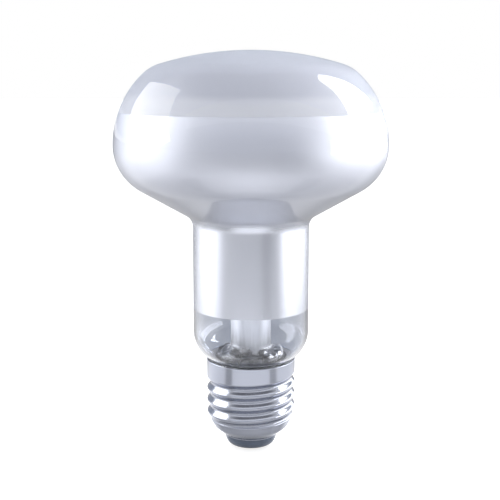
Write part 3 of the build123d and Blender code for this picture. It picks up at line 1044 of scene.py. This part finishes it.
class BULB_OT_set_stage(bpy.types.Operator):
    """Sets the floor, the surroundings, four softboxes and the camera"""

    bl_idname = "bulb.set_stage"
    bl_label = "Set Stage"

    def execute(self, context):
        settings = context.scene.bulb_stage
        self.lay_floor()
        self.light_room(context.scene, settings)
        self.hang_softboxes(settings)
        self.aim_camera(context.scene)
        context.scene.view_settings.view_transform = "Standard"
        return {"FINISHED"}

    def lay_floor(self):
        """Wide flat floor just under the contact."""
        shape = bmesh.new()
        bmesh.ops.create_grid(shape, x_segments=8, y_segments=8, size=4.0)
        mesh = bpy.data.meshes.new("floor")
        shape.to_mesh(mesh)
        shape.free()
        floor = placed("floor", mesh)
        floor.location.z = -0.0001
        mesh.materials.append(finish_of("pale_floor", self.pale_floor))

    def pale_floor(self, nodes):
        """White to the camera. Reflections, and rays through the glass, see paler and darker zones round the
        bulb: painted light and painted shade, with painted shadows of the bulb, that stand in for the
        surroundings of a bulb that stands in a studio."""
        settings = bpy.context.scene.bulb_stage
        ray = nodes.add("ShaderNodeLightPath")
        glossy = ray.also("Is Glossy Ray")
        sent = ray.also("Is Transmission Ray")
        bounces = ray.also("Glossy Depth")
        scattered = ray.also("Diffuse Depth")

        # Place on the floor: distance from the axis, and how far in front, to the right or to a side
        place = nodes.place()
        deep = place.also("Y")
        reach = (place * place + deep * deep) ** 0.5
        away = reach + 0.001
        toward = -deep / away
        right = place / away
        across = right.math("ABSOLUTE", right)

        # Rays that pass the glass: straight through, off the film once, off the film twice
        through = nodes.step(bounces + scattered, 0.8, 0.2) * sent
        mirrored = nodes.step(bounces, 0.2, 0.8) * sent
        # Painted light: the floor in front near the bulb glows brighter for rays off the film twice
        twice = nodes.step(bounces, 1.2, 1.8) * sent * nodes.zone((toward, 0.0, 0.3), (reach, 0.14, 0.10))

        # Zones of painted shade and painted light that the film, the glass and the cap's metal reflect
        # Painted shade: the floor in front is darker in reflections, less so for rays the frost has scattered
        front = nodes.zone((toward, 0.2, 0.6), (reach, 0.10, 0.18))
        front = front * (1.0 - nodes.step(scattered, 0.2, 0.8) * 0.7)
        # Painted shade: a dark stripe in front, to the right, that the neck reflects
        painted_dark_stripe = right - 0.5
        painted_dark_stripe = front * nodes.step(painted_dark_stripe.math("ABSOLUTE", painted_dark_stripe), 0.2, 0.05) * glossy
        # Painted shade near the bulb in front
        near = nodes.zone((toward, 0.2, 0.6), (reach, 0.04, 0.06), (reach, 0.125, 0.105))
        # Painted shadow: the floor under the bulb is darker
        under = nodes.zone((toward, -0.3, 0.3), (reach, 0.05, 0.03))
        # Painted light beside and behind the bulb for reflections off the film, and painted shade behind it
        # and at the rear
        edge = nodes.zone((deep, 0.0, 0.05), (reach, 0.17, 0.20), (reach, 0.45, 0.35)) * mirrored
        behind = nodes.step(deep, 0.0, 0.04) * sent * (1.0 - edge)
        rear = nodes.zone((deep, 0.03, 0.10), (across, 0.9, 0.6)) * (1.0 - edge)
        # Painted light: the floor at the far sides glows brighter in reflections
        sides = nodes.zone((across, 0.78, 0.96), (reach, 0.12, 0.16))
        sides = sides.math("MAXIMUM", sides, edge)
        # Painted shade beside the bulb for rays through the glass
        flank = nodes.zone((across, 0.45, 0.75), (reach, 0.14, 0.10)) * sent * (1.0 - twice)
        # Painted shadows of the bulb, where the side softboxes would cast them, seen in the cap's metal
        painted_shadow_band = across - 0.8
        painted_shadow_band = painted_shadow_band.math("ABSOLUTE", painted_shadow_band)
        painted_shadow_band = nodes.zone((painted_shadow_band, 0.13, 0.05), (reach, 0.12, 0.10), (deep, 0.02, -0.02)) * (1.0 - sent)

        # Painted glow of each zone, which only reflections see
        seen = 0.48 + sides * 0.58 + twice * 1.1
        seen = seen - front * 0.32 - painted_dark_stripe * 0.16 - near * 0.2
        seen = seen - flank * 0.3 - rear * 0.42 - painted_shadow_band * 0.2
        seen = ray.math("MAXIMUM", ray, glossy * (1.0 - through) * seen)

        # Painted shade of each zone: the floor's colour made darker there
        painted_shade_shares = (
            (front * glossy, 0.6),
            (painted_dark_stripe, 0.5),
            (flank, 0.5),
            (rear * glossy, 0.55),
            (under, 0.35),
            (behind, 0.42),
            (painted_shadow_band * glossy, 0.6),
        )
        shade = opaque(settings.floor)
        for zone, share in painted_shade_shares:
            shade = nodes.mix(zone, shade, opaque(settings.floor, share))
        # Painted shade, in the rear colour, for rays straight through the glass
        shade = nodes.mix(through, shade, opaque(settings.rear, 0.5))
        return {
            "Base Color": nodes.mix(nodes.grain(6.0, 2.0) * 0.1, shade, (1.0, 1.0, 1.0, 1.0)),
            "Roughness": 0.9,
            "Specular IOR Level": 0.0,
            "Emission Color": nodes.mix(seen, (0.0, 0.0, 0.0, 1.0), (0.8, 0.8, 0.8, 1.0)),
            "Emission Strength": 1.0,
        }

    def light_room(self, scene, settings):
        """White room. All rays but the camera's see a grey patch on the camera's side and a dark ceiling,
        and reflections see a darker rear wall."""
        scene.world = scene.world or bpy.data.worlds.new("room")
        scene.world.use_nodes = True
        nodes = Nodes(scene.world.node_tree)
        ray = nodes.add("ShaderNodeLightPath")
        glossy = ray.also("Is Glossy Ray")
        way = nodes.add("ShaderNodeSeparateXYZ", {}, {0: nodes.add("ShaderNodeTexCoord", out="Generated")})
        deep, height = way.also("Y"), way.also("Z")
        facing = -deep / ((way * way + deep * deep) ** 0.5 + 0.001)
        patch = nodes.zone((facing, 0.40, 0.90), (height.math("ABSOLUTE", height), 0.68, 0.46)) * (1.0 - ray)
        upper = patch * nodes.zone((ray.also("Glossy Depth"), 0.2, 0.8), (height, 0.0, 0.2))
        overhead = nodes.step(height, 0.72, 0.84) * (1.0 - ray)
        rear = nodes.zone((facing, -0.4, -0.7), (height, 0.0, 0.04)) * glossy
        colour = nodes.mix(patch, (1.0, 1.0, 1.0, 1.0), opaque(settings.front))
        colour = nodes.mix(upper, colour, opaque(settings.front, 0.87))
        colour = nodes.mix(overhead, colour, opaque(settings.ceiling))
        colour = nodes.mix(rear, colour, opaque(settings.rear))
        seen = ray.math("MAXIMUM", ray, glossy)
        seen = seen.math("MAXIMUM", seen, ray.also("Is Transmission Ray") * 0.6)
        strength = settings.fill + seen * (1.0 - settings.fill)
        surface = nodes.add("ShaderNodeBackground", {}, {"Color": colour, "Strength": strength})
        nodes.add("ShaderNodeOutputWorld", {}, {"Surface": surface})

    def hang_softboxes(self, settings):
        """Softboxes that face the axis, each from an azimuth and at a place to the side, out and up."""
        softboxes = {
            "softbox_left": (settings.left, 165.0, (0.078, 0.62, 0.346), (0.581, 0.72), 3.6, 31.5),
            "softbox_right": (settings.right, 25.15, (0.0, 0.62, 0.787), (0.205, 1.444), -31.0, -2.7),
            "softbox_top": (settings.top, -78.5, (0.0, 0.62, 0.71), (2.92, 0.444), 29.0, -6.4),
            "softbox_low": (settings.low, 16.0, (0.0, 0.62, 0.10), (1.1, 0.20), 0.0, 0.0),
        }
        for name, (brightness, azimuth, place, size, tilt, roll) in softboxes.items():
            side, distance, height = place
            lamp = bpy.data.lights.new(name, "AREA")
            lamp.shape = "RECTANGLE"
            lamp.size, lamp.size_y = size
            lamp.energy = brightness * math.pi * size[0] * size[1]
            hung = bpy.data.objects.new(name, lamp)
            hung.location = around(azimuth, distance, height) + around(azimuth + 90, side, 0.0)
            facing = Euler((math.radians(90 - tilt), 0.0, math.radians(azimuth + 90))).to_matrix()
            hung.rotation_euler = (facing @ Matrix.Rotation(math.radians(roll), 3, "Z")).to_euler()
            hung.visible_camera = False
            bpy.context.scene.collection.objects.link(hung)

    def aim_camera(self, scene):
        """Camera in front of the bulb, tilted down a little."""
        distance, height, tilt = 0.27434, 0.11087, 6.98
        lens = bpy.data.cameras.new("camera")
        lens.lens = 67.77
        lens.sensor_width = 36.0
        lens.shift_x, lens.shift_y = -0.0018, -0.12
        lens.clip_start = 0.01
        camera = bpy.data.objects.new("camera", lens)
        camera.location = (0.0, -distance, height)
        camera.rotation_euler = (math.radians(90 - tilt), 0.0, 0.0)
        scene.collection.objects.link(camera)
        scene.camera = camera


operators = (
    BULB_OT_blow_glass,
    BULB_OT_coat_film,
    BULB_OT_draw_stem,
    BULB_OT_lay_wires,
    BULB_OT_wind_filament,
    BULB_OT_roll_cap,
    BULB_OT_fit_contact,
    BULB_OT_close_rim,
    BULB_OT_set_stage,
)

groups = {
    "bulb_sizes": BulbSizes,
    "bulb_cap": CapSizes,
    "bulb_wires": WireSizes,
    "bulb_colours": FinishColours,
    "bulb_stage": StageSettings,
}


class BULB_PT_panel(bpy.types.Panel):
    """Lists the bulb's operators and sizes"""

    bl_label = "Reflector Bulb"
    bl_idname = "BULB_PT_panel"
    bl_space_type = "VIEW_3D"
    bl_region_type = "UI"
    bl_category = "Bulb"

    def draw(self, context):
        for operator in operators:
            self.layout.operator(operator.bl_idname)
        for name in groups:
            group = getattr(context.scene, name)
            box = self.layout.box()
            for key in group.__annotations__:
                box.prop(group, key)


def register():
    for name, group in groups.items():
        bpy.utils.register_class(group)
        setattr(bpy.types.Scene, name, PointerProperty(type=group))
    for made in (*operators, BULB_PT_panel):
        bpy.utils.register_class(made)


def unregister():
    for made in (BULB_PT_panel, *reversed(operators)):
        bpy.utils.unregister_class(made)
    for name, group in groups.items():
        delattr(bpy.types.Scene, name)
        bpy.utils.unregister_class(group)


def main():
    register()
    bpy.ops.bulb.blow_glass()
    bpy.ops.bulb.coat_film()
    bpy.ops.bulb.draw_stem()
    bpy.ops.bulb.lay_wires()
    bpy.ops.bulb.wind_filament()
    bpy.ops.bulb.roll_cap()
    bpy.ops.bulb.fit_contact()
    bpy.ops.bulb.close_rim()
    bpy.ops.bulb.set_stage()


if __name__ == "__main__":
    main()
